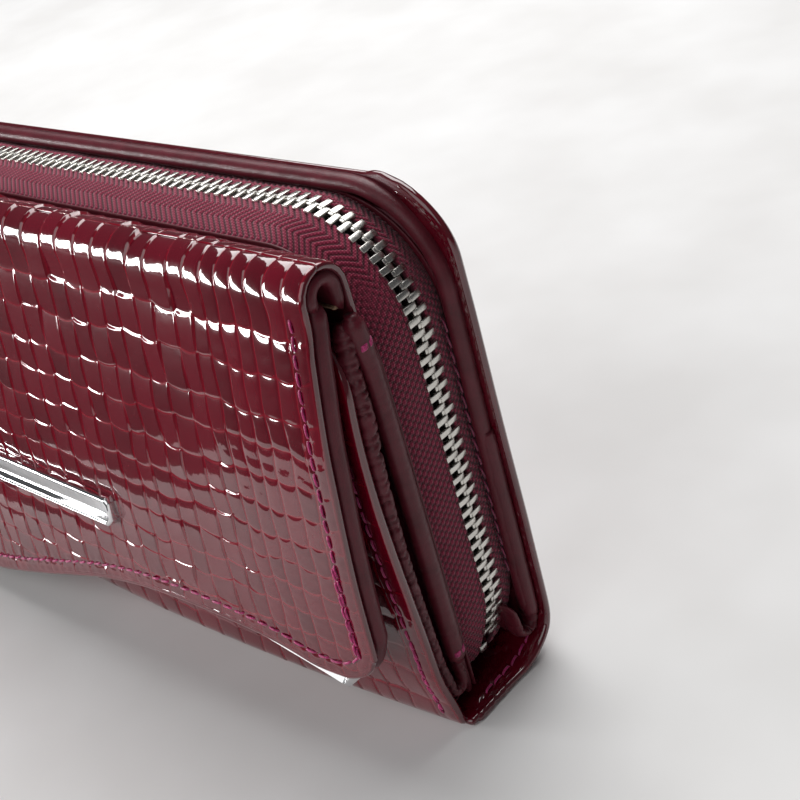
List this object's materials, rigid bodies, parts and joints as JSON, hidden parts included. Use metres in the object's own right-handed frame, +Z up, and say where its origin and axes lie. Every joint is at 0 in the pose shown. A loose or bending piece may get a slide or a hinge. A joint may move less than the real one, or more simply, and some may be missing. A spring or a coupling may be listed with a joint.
{
  "type": "long wallet",
  "caption": "Long leather wallet with a waved front flap, a metal zip round three sides, a bill pocket, card slots and a zipped coin pocket.",
  "frame": {"origin": "middle of the underside of the spine, on the surface that the wallet stands on", "axes": "+X along the wallet towards the end away from the closed zip slider, +Y towards the back cover, +Z up"},
  "size_m": [0.19, 0.0481, 0.099],
  "materials": {
    "patent_leather": "glossy patent, lizard embossed",
    "lining_leather": "matte smooth",
    "board": "matte",
    "padding": "soft",
    "zip_tape": "herringbone weave",
    "zip_metal": "bright nickel",
    "pocket_cloth": "plain weave",
    "bright_metal": "polished"
  },
  "bodies": {
    "front_section": {"spine_panel": "patent_leather", "spine_board": "board", "front_cover_panel": "patent_leather", "bill_pocket_lining": "lining_leather", "zip_front_wall": "lining_leather", "zip_front_facing": "lining_leather", "flap_tail": "patent_leather", "zip_tape_front": "zip_tape", "zip_teeth_front": "zip_metal", "zip_end_stops": "zip_metal", "card_slots_front": "lining_leather", "gusset_front": "lining_leather", "snap_socket": "bright_metal"},
    "flap_fold": {"flap_fold_skin": "patent_leather", "flap_fold_lining": "lining_leather"},
    "flap": {"flap_skin": "patent_leather", "flap_board": "board", "flap_lining": "lining_leather", "flap_edge_trim": "bright_metal", "nameplate": "bright_metal", "snap_stud": "bright_metal"},
    "back_shell": {"back_panel": "patent_leather", "back_board": "board", "back_padding": "padding", "zip_back_facing": "lining_leather", "zip_tape_back": "zip_tape", "zip_teeth_back": "zip_metal", "card_slots_back": "lining_leather", "gusset_back": "lining_leather"},
    "coin_divider": {"coin_pocket": "pocket_cloth", "coin_zip_tape": "zip_tape", "coin_zip_teeth": "zip_metal"},
    "zip_slider": {"zip_slider": "zip_metal"},
    "zip_pull": {"zip_pull": "zip_metal"},
    "coin_slider": {"coin_zip_slider": "zip_metal"},
    "coin_pull": {"coin_zip_pull": "zip_metal"}
  },
  "joints": [
    {"name": "flap_fold_hinge", "type": "hinge", "parent": "front_section", "child": "flap_fold", "pos_m": [0, -0.0002, 0.0924], "axis": [-1, 0, 0], "range_deg": [0, 20]},
    {"name": "flap_hinge", "type": "hinge", "parent": "flap_fold", "child": "flap", "pos_m": [0, -0.011, 0.092], "axis": [-1, 0, 0], "range_deg": [0, 150]},
    {"name": "back_shell_hinge", "type": "hinge", "parent": "front_section", "child": "back_shell", "pos_m": [0, 0.0215, 0.005], "axis": [-1, 0, 0], "range_deg": [0, 75]},
    {"name": "coin_divider_hinge", "type": "hinge", "parent": "front_section", "child": "coin_divider", "pos_m": [0, 0.0215, 0.005], "axis": [-1, 0, 0], "range_deg": [0, 37.5]},
    {"name": "zip_slider_slide", "type": "slide", "parent": "front_section", "child": "zip_slider", "axis": [0, 0, 1], "range_m": [-0.006, 0.042]},
    {"name": "zip_pull_hinge", "type": "hinge", "parent": "zip_slider", "child": "zip_pull", "pos_m": [-0.09355, 0.0107, 0.03], "axis": [0, 1, 0], "range_deg": [0, 170]},
    {"name": "coin_slider_slide", "type": "slide", "parent": "coin_divider", "child": "coin_slider", "axis": [1, 0, 0], "range_m": [-0.13, 0]},
    {"name": "coin_pull_hinge", "type": "hinge", "parent": "coin_slider", "child": "coin_pull", "pos_m": [0.066, 0.00935, 0.08647], "axis": [0, 1, 0], "range_deg": [0, 30]}
  ],
  "couplings": [
    {"joint": "flap_fold_hinge", "follows": "flap_hinge", "ratio": 0.13333},
    {"joint": "coin_divider_hinge", "follows": "back_shell_hinge", "ratio": 0.5}
  ]
}
